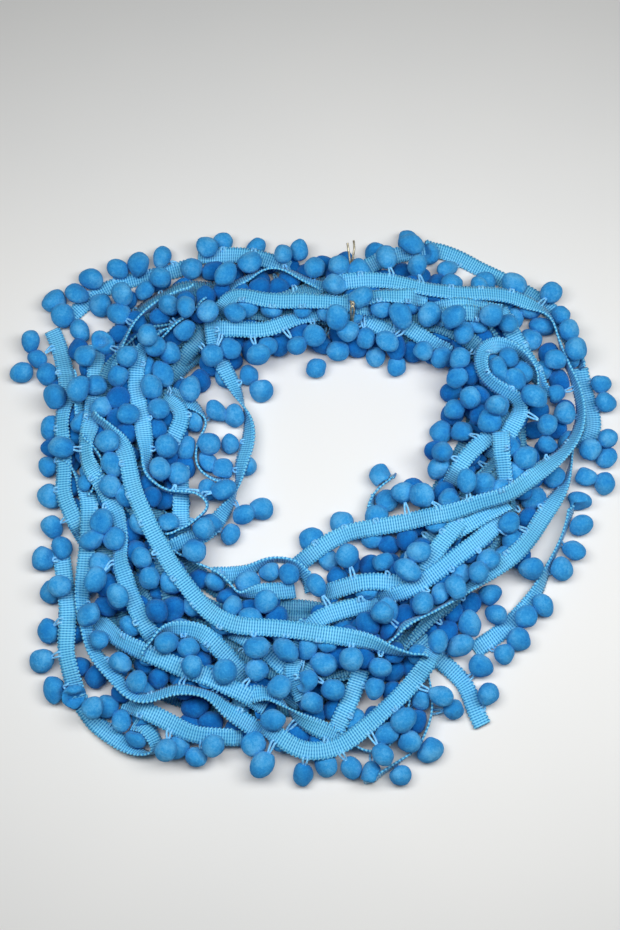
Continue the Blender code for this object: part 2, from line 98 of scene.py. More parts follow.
# The stretches of tape that show, from the lowest to the highest: rolls spread evenly along the route, and
# the route. At a roll of 0 the tape lies flat with its pompoms on the left of its direction, at 90 it stands
# on the edge that they hang from, and at 180 it lies flat with them on the right.
stretches = [
    ("rimLeft", (180, 170, 150, 120, 150, 180), [
        (-161, 112), (-157, 104), (-153, 91), (-150, 80), (-148, 71), (-148, 64), (-153, 56), (-152, 47),
        (-148, 24), (-149, 13), (-150, 8), (-144, -1), (-139, -10)]),
    ("rimLeftLow", (190, 180, 180, 150), [
        (-147, -30), (-144, -46), (-141, -60), (-141, -71), (-142, -86), (-138, -94), (-135, -104)]),
    ("rimFrontCorner", (0, 0, 0, 20, 90, 150, 180), [
        (-131, -113), (-123, -125), (-116, -129), (-108, -135), (-100, -139), (-94, -142), (-88, -143),
        (-86, -138), (-89, -131), (-95, -127)]),
    ("rimFrontLeft", (160, 180, 180), [
        (-97, -117), (-87, -121), (-79, -125), (-73, -129), (-66, -132), (-56, -132), (-46, -132)]),
    ("rimFrontRight", (80, 85, 70, 30, 10, 0), [
        (150, -8), (148, -13), (145, -20), (141, -28), (136, -37), (133, -43), (129, -51), (125, -57),
        (118, -65), (111, -71), (105, -76), (98, -80), (92, -85)]),
    ("rimFrontArc", (90, 90, 80), [
        (66, -104), (67, -115), (65, -125), (59, -136), (49, -145), (37, -152)]),
    ("frontArc", (90, 90, 90), [
        (56, -101), (55, -109), (53, -120), (50, -130), (42, -137), (34, -141), (27, -140), (21, -135)]),
    ("rimRight", (0, 20, 0), [
        (163, 89), (164, 77), (166, 68), (169, 60), (170, 50), (166, 42)]),
    ("rimBackRight", (180, 170, 150, 120), [
        (80, 166), (93, 162), (100, 156), (109, 151), (118, 147), (126, 142), (133, 138), (140, 134),
        (145, 129), (150, 125), (156, 110), (161, 98)]),
    ("rimBackMiddle", (0, 0, 10), [
        (25, 149), (32, 155), (41, 159), (50, 163), (60, 165)]),
    ("rimBackLeft", (0, 0, 0), [
        (-71, 163), (-60, 163), (-52, 164), (-45, 164), (-39, 163), (-32, 161), (-20, 156)]),
    ("cornerBackLeft", (0, 0, 10), [
        (-152, 120), (-146, 126), (-139, 134), (-132, 140), (-124, 143), (-116, 146), (-106, 148),
        (-88, 152), (-76, 156)]),
    ("holeLeft", (0, 0, 30, 110, 160, 110, 40, 10, 60), [
        (-62, 117), (-62, 109), (-60, 100), (-58, 93), (-53, 84), (-48, 78), (-46, 71), (-43, 64),
        (-40, 57), (-38, 50), (-39, 41), (-40, 34), (-43, 22), (-45, 10), (-48, 3), (-53, -3), (-57, -10),
        (-63, -19), (-72, -20), (-80, -22), (-87, -25)]),
    ("holeLeftCurl", (60, 80, 90, 80), [
        (-83, 69), (-74, 65), (-66, 58), (-63, 52), (-66, 46), (-70, 41), (-71, 33), (-69, 25), (-63, 19),
        (-57, 17)]),
    ("holeLeftFlat", (0, 0, 20), [
        (-90, 68), (-81, 63), (-77, 56), (-80, 50), (-85, 41)]),
    ("holeLeftShort", (0, 0), [
        (-79, 14), (-79, 8), (-79, -2), (-78, -8)]),
    ("middleRight", (0, 20, 50), [
        (84, -15), (91, -11), (98, -7), (105, -3)]),
    ("holeRight", (90, 90, 70, 30), [
        (41, 14), (38, 12), (36, 9), (33, 0), (36, -8)]),
    ("backArch", (60, 90, 90, 60), [
        (-48, 142), (-43, 146), (-37, 151), (-30, 154), (-25, 155), (-18, 154), (-11, 149), (-4, 146),
        (4, 143)]),
    ("leftDouble", (70, 90, 120), [
        (-122, 85), (-121, 95), (-118, 102), (-115, 110), (-111, 118), (-106, 124), (-99, 129), (-93, 133),
        (-85, 136)]),
    ("leftEdgeShort", (90, 90), [
        (-144, 74), (-143, 67), (-142, 60), (-140, 53), (-136, 48)]),
    ("leftEdgeLow", (90, 90), [
        (-131, 36), (-126, 30), (-126, 22), (-128, 18)]),
    ("frontShort", (0, 10), [
        (2, -85), (2, -91), (-1, -95), (-4, -100), (-8, -106)]),
    ("frontSlant", (0, 0, 20), [
        (-40, -76), (-34, -79), (-27, -84), (-22, -89), (-16, -95), (-10, -99)]),
    ("frontFold", (65, 50, 20), [
        (-8, -78), (-10, -86), (-13, -92), (-13, -97), (-11, -101)]),
    ("frontHigh", (0, 20), [
        (2, -68), (8, -64), (16, -62), (23, -59), (29, -58)]),
    ("frontUpright", (0, 0, 40), [
        (27, -94), (25, -100), (23, -107), (20, -114), (17, -119), (14, -125), (11, -131)]),
    ("holeFrontArc", (50, 80, 60, 20), [
        (-5, -40), (-8, -35), (-13, -33), (-19, -31), (-25, -31), (-30, -33), (-34, -37), (-38, -39),
        (-44, -41), (-49, -41)]),
    ("holeFrontEdge", (90, 100, 90, 140, 180), [
        (-72, -31), (-64, -35), (-56, -40), (-50, -43), (-47, -48), (-44, -53), (-42, -56), (-37, -52),
        (-31, -50), (-25, -51), (-17, -50)]),
    ("holeFrontFlat", (0, 0, 0), [
        (14, -49), (21, -47), (29, -45), (37, -44), (46, -45), (58, -46)]),
    ("backHigh", (180, 180, 160), [
        (80, 128), (93, 130), (106, 127)]),
    ("backSmall", (180, 180), [
        (84, 122), (92, 124), (101, 123)]),
    ("tieFanLow", (180, 180, 150), [
        (20, 127), (26, 125), (30, 122), (36, 117), (43, 113), (49, 110)]),
    ("tieFanMiddle", (180, 180), [
        (22, 126), (35, 125), (42, 127), (49, 129), (58, 130)]),
    ("tieFanHigh", (180, 180), [
        (22, 131), (35, 134), (42, 135), (49, 136), (60, 135)]),
    ("backRightArc", (180, 170, 150), [
        (57, 116), (62, 112), (68, 108), (74, 104)]),
    ("rightLow", (180, 180, 160), [
        (113, 49), (107, 44), (100, 40), (94, 34), (89, 27), (86, 22)]),
    ("rightFan", (20, 0, 20, 70), [
        (119, 119), (122, 112), (125, 104), (130, 96), (135, 88), (138, 80)]),
    ("rightLoop", (100, 60, 20, 10, 0, 0, 0, 20), [
        (138, 78), (137, 86), (132, 94), (126, 99), (121, 103), (114, 105), (107, 104), (102, 99),
        (100, 93), (103, 87), (106, 80), (111, 75), (118, 72), (124, 71), (127, 63), (124, 56), (120, 49),
        (116, 44), (112, 38)]),
    ("rightShort", (0, 0), [
        (113, 36), (113, 33), (114, 24), (114, 16), (114, 12)]),
    ("leftEdge", (90, 100, 90), [
        (-109, 98), (-103, 101), (-98, 102), (-93, 107), (-89, 112), (-85, 118), (-79, 120), (-75, 125)]),
    ("leftMiddle", (80, 10, 0, 0, 60, 90, 90, 80, 90), [
        (-99, 106), (-107, 98), (-109, 90), (-109, 82), (-108, 74), (-106, 65), (-103, 56), (-102, 49),
        (-101, 41), (-99, 32), (-101, 25), (-100, 19), (-95, 14), (-89, 10), (-83, 8), (-76, 10),
        (-71, 10), (-65, 6), (-61, 1), (-64, -4), (-70, -9), (-76, -12)]),
    ("frontTwin", (180, 180, 170), [
        (88, -7), (81, -15), (74, -23), (69, -30), (65, -36), (64, -41)]),
    ("frontPair", (0, 0, 0, 60), [
        (108, -10), (102, -16), (95, -22), (87, -27), (80, -33), (73, -38), (66, -43), (60, -47),
        (52, -51), (44, -52)]),
    ("leftLong", (90, 60, 0, 0, 50, 55, 55, 50, 55, 85, 60, 20), [
        (-144, 24), (-138, 18), (-134, 10), (-131, 2), (-133, -6), (-133, -18), (-133, -30), (-133, -42),
        (-134, -54), (-134, -61), (-130, -69), (-129, -77), (-126, -85), (-121, -91), (-112, -99),
        (-108, -105), (-103, -111), (-99, -113), (-94, -112), (-88, -110), (-82, -106), (-77, -106),
        (-71, -107), (-63, -107), (-60, -108), (-56, -110), (-52, -115), (-49, -119), (-42, -121),
        (-35, -126)]),
    ("frontRightTip", (0, 0, 0, 0, 10), [
        (62, -80), (67, -86), (75, -92), (83, -99), (88, -105), (89, -113), (92, -121), (95, -127)]),
    ("backLeftLow", (180, 180, 180), [
        (-57, 114), (-45, 114), (-36, 112), (-29, 112), (-23, 114), (-15, 119), (-6, 122), (2, 124),
        (10, 127), (18, 128), (26, 128)]),
    ("backLeftHigh", (180, 180, 180), [
        (-56, 128), (-51, 137), (-45, 137), (-36, 134), (-28, 132), (-15, 132), (-2, 132), (11, 131),
        (18, 130), (26, 130)]),
    ("leftOuter", (170, 180, 140, 90, 120, 170, 180, 180, 180, 150, 180, 180), [
        (-133, 92), (-133, 86), (-133, 75), (-133, 61), (-135, 45), (-137, 32), (-136, 25), (-129, 18),
        (-124, 12), (-115, -3), (-112, -8), (-112, -16), (-114, -29), (-113, -34), (-108, -43),
        (-106, -54), (-101, -61), (-98, -69), (-93, -75)]),
    ("frontHook", (100, 150, 180, 180), [
        (-91, -77), (-87, -72), (-80, -71), (-72, -71), (-65, -72), (-60, -76), (-54, -83), (-50, -86),
        (-45, -92), (-39, -99)]),
    ("frontLeftFlat", (10, 0, 0, 0, 20), [
        (-117, -73), (-113, -76), (-107, -81), (-98, -84), (-88, -88), (-79, -92), (-69, -96), (-59, -99),
        (-51, -103), (-41, -107), (-36, -110)]),
    ("frontTwist", (0, 30, 90, 150, 180), [
        (-35, -109), (-32, -108), (-27, -106), (-22, -108), (-17, -113), (-12, -118), (-8, -123),
        (-1, -126), (5, -128), (9, -130)]),
    ("frontRightFlat", (180, 180, 180, 170), [
        (-20, -131), (-16, -134), (-8, -140), (2, -141), (11, -139), (19, -135), (26, -129), (34, -123),
        (42, -116), (49, -110), (57, -101), (61, -96), (65, -90)]),
    ("rightOuter", (90, 120, 180, 180, 180, 120, 95, 95, 95), [
        (154, 27), (153, 22), (150, 15), (145, 7), (139, 0), (134, -8), (131, -14), (125, -22), (120, -28),
        (111, -33), (102, -39), (94, -44), (87, -50), (76, -58), (68, -62), (60, -65), (52, -70),
        (46, -76)]),
    ("backSweep", (0, 0, 0, 10, 60, 100, 115, 115, 125, 150, 180, 180, 170, 130), [
        (20, 145), (28, 146), (36, 147), (45, 146), (54, 144), (63, 141), (76, 139), (89, 137), (102, 137),
        (115, 137), (124, 136), (133, 132), (140, 128), (147, 124), (150, 117), (151, 108), (153, 97),
        (156, 87), (160, 79), (162, 69), (163, 59), (160, 45), (155, 38), (149, 32), (141, 26), (133, 21),
        (125, 14), (119, 9), (111, 6), (101, 4), (93, 1), (80, -4), (67, -6), (54, -10), (44, -11),
        (38, -12), (31, -14), (24, -13), (16, -17), (10, -20), (3, -25), (-3, -30), (-8, -34)]),
    ("frontSweep", (110, 140, 170, 180, 180, 180, 180, 180, 180, 150, 95), [
        (-125, 50), (-116, 41), (-111, 32), (-110, 24), (-108, 13), (-104, 4), (-99, -6), (-94, -16),
        (-88, -25), (-83, -36), (-76, -44), (-70, -51), (-63, -60), (-52, -68), (-42, -71), (-34, -71),
        (-25, -71), (-15, -72), (-5, -73), (4, -75), (14, -76), (22, -77), (29, -78), (35, -80), (41, -83),
        (46, -85), (54, -86)]),
]

# The middles of the pompoms that show, on the same plane as the routes
rimPompoms = [
    (-67, 169), (-95, 162), (-110, 157), (-123, 154), (-139, 147), (-147, 137), (-161, 132), (-155, 122),
    (-144, 112), (-173, 103), (-170, 96), (-178, 85), (-162, 84), (-157, 69), (-152, 37), (-158, 25),
    (-156, 7), (-153, -12), (-148, -25), (-147, -47), (-152, -73), (-154, -90), (-145, -106), (-136, -110),
    (-124, -116), (-114, -117), (-104, -121), (-98, -131), (-82, -139), (-75, -137), (-66, -143),
    (-56, -137), (-34, -135), (-30, -150), (-23, -138), (-6, -152), (6, -148), (22, -149), (36, -157),
    (41, -146), (42, -130), (53, -135), (61, -111), (75, -111), (81, -117), (98, -109), (95, -93),
    (109, -86), (117, -78), (122, -65), (127, -37), (144, -37), (152, -26), (157, -11), (157, 3),
    (164, 18), (171, 15), (167, 35), (174, 27), (177, 42), (177, 65), (175, 77), (161, 100), (158, 112),
    (153, 122), (150, 139), (62, 171), (45, 166), (73, 164), (16, 154), (1, 155), (-8, 166), (-19, 164),
]
holePompoms = [
    (-53, 82), (-39, 82), (-32, 73), (-57, 59), (-48, 58), (-48, 38), (-43, 25), (-62, 35), (-60, 25),
    (-60, 11), (-52, 11), (-37, -5), (-33, -2), (-60, -10), (-23, -39), (-16, -40), (-2, -40), (8, -31),
    (19, -27), (36, -19), (41, -33), (43, 4), (41, 18), (52, 14), (63, 8), (76, 23), (77, 33), (77, 46),
    (86, 61), (95, 68), (88, 81), (90, 94), (91, 105), (79, 95), (69, 98), (51, 89), (38, 95), (44, 103),
    (29, 102), (15, 99), (2, 88), (-8, 100), (-28, 102), (-33, 95), (-52, 101), (-64, 90),
]
topPompoms = [
    (-96, 148), (-76, 154), (-105, 139), (-119, 136), (-132, 129), (-121, 123), (-88, 126), (-79, 128),
    (-65, 125), (-129, 104), (-114, 95), (-102, 109), (-89, 97), (-93, 85), (-99, 75), (-119, 82),
    (-129, 75), (-143, 75), (-140, 95), (-124, 62), (-112, 58), (-94, 60), (-75, 74), (-118, 8),
    (-107, -20), (-100, -31), (-95, -42), (-125, -10), (-127, -20), (-124, -37), (-130, -46), (-126, -64),
    (-120, -79), (-100, -102), (-108, -90), (-92, 23), (-88, 37), (-81, 21), (-85, -10), (-66, -86),
    (-83, -82), (-50, -92), (-32, -95), (-33, -80), (-16, -82), (1, -80), (10, -91), (21, -89), (36, -93),
    (34, -105), (11, -106), (-1, -113), (-23, -123), (43, -66), (36, -59), (71, -79), (82, -80), (60, -88),
    (92, 16), (103, 14), (77, 12), (89, 47), (110, 61), (107, 54), (127, 28), (141, 36), (146, 49),
    (152, 58), (116, -20), (101, -32), (111, -9), (61, -27), (55, -38), (74, -50), (101, -53), (105, -63),
    (89, -68), (30, 134), (14, 144), (14, 121), (0, 108), (23, 109), (55, 123), (73, 123), (87, 121),
    (110, 122), (121, 127), (120, 117), (133, 125), (142, 115), (119, 94), (125, 82), (134, 69), (144, 69),
    (111, 63), (84, 154), (65, 158), (-55, 150), (-39, 157), (-49, 124),
]
lowPompoms = [
    (-127, -97), (-88, -100), (-95, -94), (-73, -102), (-67, -117), (-58, -124), (-140, -65), (-138, -74),
    (-120, -59), (-132, -95), (-108, -56), (-90, -62), (54, -123), (44, -117), (35, -122), (16, -41),
    (23, -36), (-9, -130), (5, -136), (45, -110), (151, 80), (153, 61), (147, 49), (140, 35), (127, 29),
    (145, 96), (121, 11), (-144, 45), (-144, 55), (-128, 45), (-121, 36), (-133, 31), (-96, 46), (-88, 53),
    (-76, 26), (-96, 8), (-88, 5),
]

settling = {
    "passes": 240,
    "pressed": 0.45,  # how much of the loose heap's height it starts from
    "drop": 0.16,  # how far a pompom and a buried turn sink in each pass
    "dropTape": 0.08,  # and a stretch that shows
    "fade": (0.6, 0.95),  # the shares of the passes between which the sinking dies down
    "watchEvery": 6,  # after how many passes the points that may touch are looked up again
    "watchAhead": 2.5,  # how far ahead of a touch two points are already watched
    "stiffness": 3,  # how often the tape's own lengths are settled in a pass
    "touches": 3,  # and how often the touches
    "order": 4.0,  # how firmly what lies higher in the photograph is pushed up off what lies lower
    "ballGap": 12.5,
    "ballToTape": 7.2,
    "tapeGap": 2.2,
    "nearStations": 4,  # a tape doesn't push on itself within so many stations
    "hold": 0.10,  # how firmly a stretch that shows keeps its place
    "holdBuried": 0.012,
    "holdBall": 0.08,
    "holdLone": 0.12,
    "holdTucked": 0.05,
    "bend": 0.12,
    "shear": 0.6,
    "thread": 0.8,
    "threadSlack": 0.4,
    "middleShare": 0.7,  # how much of a push on the tape's middle goes to each of its edges
    "tailStations": 5,
    "tailSlope": 64.0,  # in degrees, where an end dives under what lies over it
    "lowestTape": 1.3,
    "rimRank": 12.0,  # where the single pompoms of the rims come in the order of the stretches
    "topStretches": 5,  # how many of the stretches lie over the pompoms on top
}


def bundleAt(bearing):
    rows = np.array(bundle["outline"], float)
    turns = np.append(rows[:, 0], 360.0)
    at = np.degrees(bearing) % 360.0
    return [np.interp(at, turns, np.append(rows[:, k], rows[0, k])) for k in (1, 2)]


curveSteps = 10  # between two points of a route


def smoothRoute(points, every):
    # evenly spaced points on a smooth curve through the route
    p = np.array(points, float)
    p = np.vstack([2 * p[0] - p[1], p, 2 * p[-1] - p[-2]])
    curve = []
    for a, b, c, d in zip(p[:-3], p[1:-2], p[2:-1], p[3:]):
        for t in np.linspace(0, 1, curveSteps, endpoint=False):
            curve.append(0.5 * (2 * b + (c - a) * t + (2 * a - 5 * b + 4 * c - d) * t**2
                                + (3 * b - a - 3 * c + d) * t**3))
    curve = np.array(curve + [p[-2]])
    along = np.concatenate([[0], np.cumsum(np.linalg.norm(np.diff(curve, axis=0), axis=1))])
    count = max(3, round(along[-1] / every) + 1)
    at = np.linspace(0, along[-1], count)
    return np.stack([np.interp(at, along, curve[:, k]) for k in range(curve.shape[1])], axis=1)


def widen(run):
    # the direction across the tape in plan, and its rise, from the roll
    line, roll = run["xy"], run["roll"]
    along = np.gradient(line, axis=0)
    along /= np.linalg.norm(along, axis=1)[:, None] + 1e-9
    run["left"] = np.stack([-along[:, 1], along[:, 0]], axis=1)
    run["lie"], run["stand"] = np.cos(roll), np.sin(roll)
    return run


def withTails(points, rolls):
    # each end runs on for a short way, and dives under what lies over it there
    line = smoothRoute(points, step)
    spare = settling["tailStations"]
    reach = np.arange(1, spare + 1)[:, None] * step * math.cos(math.radians(settling["tailSlope"]))
    start, end = line[0] - line[1], line[-1] - line[-2]
    before = line[0] + start / np.linalg.norm(start) * reach[::-1]
    after = line[-1] + end / np.linalg.norm(end) * reach
    roll = np.interp(np.linspace(0, len(rolls) - 1, len(line)), range(len(rolls)), rolls)
    roll = np.concatenate([np.full(spare, rolls[0]), roll, np.full(spare, rolls[-1])])
    line = np.vstack([before, line, after])
    free = np.zeros(len(line), bool)
    free[:spare] = free[-spare:] = True
    return line, np.radians(roll), free


def makeStretches():
    runs = []
    for name, rolls, points in stretches:
        line, roll, free = withTails(points, rolls)
        runs.append(widen({"name": name, "xy": line, "roll": roll, "free": free, "buried": False}))
    return runs


def averaged(values, reach):
    width = 2 * reach + 1
    return np.convolve(np.pad(values, reach, "edge"), np.full(width, 1 / width), "valid")


def makeBuried():
    # the turns underneath: one long line that wanders across the bundle as it goes round
    draw = np.random.default_rng(bundle["seed"])
    turns, margin = bundle["turns"], bundle["margin"]
    count = turns * bundle["knotsPerTurn"] + 1
    jitter = draw.uniform(-bundle["laneJitter"], bundle["laneJitter"], count)
    lane = (np.arange(count) * bundle["laneShift"] + jitter) % 1.0
    lowLane, highLane = bundle["lanes"]
    lane = lowLane + (highLane - lowLane) * lane
    roll = draw.uniform(*bundle["rolls"], count * 2)
    t = np.linspace(0, turns, turns * 120)
    bearing = math.radians(bundle["startBearing"]) + 2 * math.pi * t
    hole, outer = bundleAt(bearing)
    across = averaged(np.interp(t, np.linspace(0, turns, count), lane), 8)
    radius = hole + margin + across * (outer - hole - 2 * margin)
    points = np.stack([bundle["centre"][0] + radius * np.cos(bearing),
                       bundle["centre"][1] + radius * np.sin(bearing)], axis=1)
    line = smoothRoute(points[::3], step)
    rolls = averaged(np.interp(np.linspace(0, len(roll) - 1, len(line)), range(len(roll)), roll), 6)
    free = np.zeros(len(line), bool)
    return widen({"name": "buried", "xy": line, "roll": np.radians(rolls), "free": free, "buried": True})


def ballSpots(run):
    # where a pompom would lie beside each station
    side = np.where(run["lie"] >= 0, 1.0, -1.0)
    reach = halfWidth * np.abs(run["lie"]) + trim["loopLength"] + trim["ballRadius"]
    return run["xy"] + run["left"] * (side * reach)[:, None]


def placeBuriedBalls(run):
    # two of three, because the rest would only fill what nobody sees
    spots = ballSpots(run)
    stations = range(2, len(spots), trim["stationsPerBall"])
    run["balls"] = [(station, None, spots[station]) for k, station in enumerate(stations) if k % 3 != 2]
    run["onTop"] = []


matching = {
    "farthest": 12.0,  # how far from a pompom in the photograph makes no more difference
    "claim": 11.0,  # within this, a pompom takes the place of that one
    "taken": 99.0,
}


def placeBalls(runs):
    # one pompom every few stations, shifted along to fall where the photograph shows them
    seen = np.array(rimPompoms + holePompoms + topPompoms, float)
    claimed = np.zeros(len(seen), bool)
    rims = len(rimPompoms) + len(holePompoms)
    for run in runs:
        spots = ballSpots(run)
        stations = np.nonzero(~run["free"])[0]
        best = None
        for phase in range(min(trim["stationsPerBall"], len(stations))):
            chosen = stations[phase::trim["stationsPerBall"]]
            away = np.linalg.norm(spots[chosen][:, None] - seen[None], axis=2)
            away[:, claimed] = matching["taken"]
            score = np.minimum(away.min(axis=1), matching["farthest"]).mean()
            if best is None or score < best[0]:
                best = (score, chosen, away)
        run["balls"], run["onTop"] = [], []
        for k, station in enumerate(best[1]):
            nearest = int(np.argmin(np.where(claimed, matching["taken"], best[2][k])))
            near = not claimed[nearest] and best[2][k][nearest] < matching["claim"]
            if near:
                claimed[nearest] = True
            tucked = (run["xy"][station] * 2 + spots[station]) / 3
            run["balls"].append((int(station), seen[nearest] if near else None, tucked))
            if near and nearest >= rims:
                run["onTop"].append(int(station))
    low = np.nonzero(~claimed)[0]
    return seen[low[low < rims]], seen[low[low >= rims]]


# The heap is a map of how high the hank has grown over each square of the surface.
heaping = {
    "cell": 2.0,
    "half": 230.0,
    "ballPress": 5.0,  # the part of a pompom that rests on what is under it
    "tapeHalf": 0.6,
    "chunk": 20,  # stations that are laid before the next ones see them
    "sag": 0.15,
    "tautPasses": 30,
}
heapSize = int(2 * heaping["half"] / heaping["cell"])


def cellOf(points):
    at = ((points + heaping["half"]) / heaping["cell"]).astype(int)
    return np.clip(at, 0, heapSize - 1)


def diskOf(radius):
    reach = int(radius / heaping["cell"]) + 1
    i, j = np.meshgrid(range(-reach, reach + 1), range(-reach, reach + 1), indexing="ij")
    away = np.hypot(i, j) * heaping["cell"]
    inside = away <= radius
    return i[inside], j[inside], away[inside]


def layBall(heap, place, disk):
    i, j, away = disk
    ci, cj = cellOf(np.array(place))
    ii, jj = np.clip(ci + i, 0, heapSize - 1), np.clip(cj + j, 0, heapSize - 1)
    bulge = np.sqrt(np.maximum(trim["ballRadius"] ** 2 - away**2, 0))
    z = max(trim["ballRadius"], float((heap[ii, jj] + bulge).max()))
    heap[ii, jj] = np.maximum(heap[ii, jj], z + bulge)
    return z


def layRun(heap, run, disk, late=False):
    # each chunk of the tape comes to rest on the heap, taut over its gaps, and the heap grows by it
    count = len(run["xy"])
    height = np.zeros(count)
    run["ballHeight"] = {}
    tall = halfWidth * np.abs(run["stand"]) + heaping["tapeHalf"]
    shares = np.array([-1.0, -0.5, 0.0, 0.5, 1.0])
    width = run["left"] * run["lie"][:, None]
    for start in range(0, count, heaping["chunk"]):
        stations = np.arange(start, min(start + heaping["chunk"], count))
        spots = run["xy"][stations][:, None] + width[stations][:, None] * shares[None, :, None] * halfWidth
        cells = cellOf(spots)
        under = heap[cells[..., 0], cells[..., 1]].max(axis=1)
        z = np.maximum(under + tall[stations], 1.0)
        held = z.copy()
        for _ in range(heaping["tautPasses"]):
            taut = z.copy()
            taut[1:-1] = (z[:-2] + z[2:]) / 2 - heaping["sag"]
            z = np.maximum(held, taut)
        height[stations] = z
        top = (z[:, None] + np.outer(run["stand"][stations], shares) * -halfWidth) + heaping["tapeHalf"]
        for k in range(len(shares)):
            np.maximum.at(heap, (cells[:, k, 0], cells[:, k, 1]), top[:, k])
        for station, target, place in run["balls"]:
            if stations[0] <= station <= stations[-1] and (station not in run["onTop"] or late):
                run["ballHeight"][station] = layBall(heap, place if target is None else target, disk)
    if not run["buried"]:
        spare = settling["tailStations"]
        dive = np.arange(1, spare + 1) * step * math.sin(math.radians(settling["tailSlope"]))
        height[:spare] = height[spare] - dive[::-1]
        height[-spare:] = height[-spare - 1] - dive
    run["z"] = np.maximum(height, settling["lowestTape"])


def nearPairs(points, others, reach):
    # each point with each of the others that is nearer than the reach, found by sorting those into cubes
    low = np.minimum(points.min(axis=0), others.min(axis=0)) - reach
    mine = np.floor((points - low) / reach).astype(np.int64)
    cubes = np.floor((others - low) / reach).astype(np.int64)
    span = np.maximum(mine.max(axis=0), cubes.max(axis=0)) + 3
    weight = np.array([span[1] * span[2], span[2], 1])
    key = mine @ weight
    keys = cubes @ weight
    order = np.argsort(keys, kind="stable")
    keys = keys[order]
    firsts, seconds = [], []
    for column in [(x * span[1] + y) * span[2] for x in (-1, 0, 1) for y in (-1, 0, 1)]:
        first = np.searchsorted(keys, key + column - 1, "left")
        last = np.searchsorted(keys, key + column + 1, "right")
        count = last - first
        i = np.repeat(np.arange(len(points)), count)
        before = np.repeat(np.cumsum(count) - count, count)
        j = order[np.repeat(first, count) + np.arange(count.sum()) - before]
        near = ((points[i] - others[j]) ** 2).sum(axis=1) < reach**2
        firsts.append(i[near])
        seconds.append(j[near])
    return np.concatenate(firsts), np.concatenate(seconds)


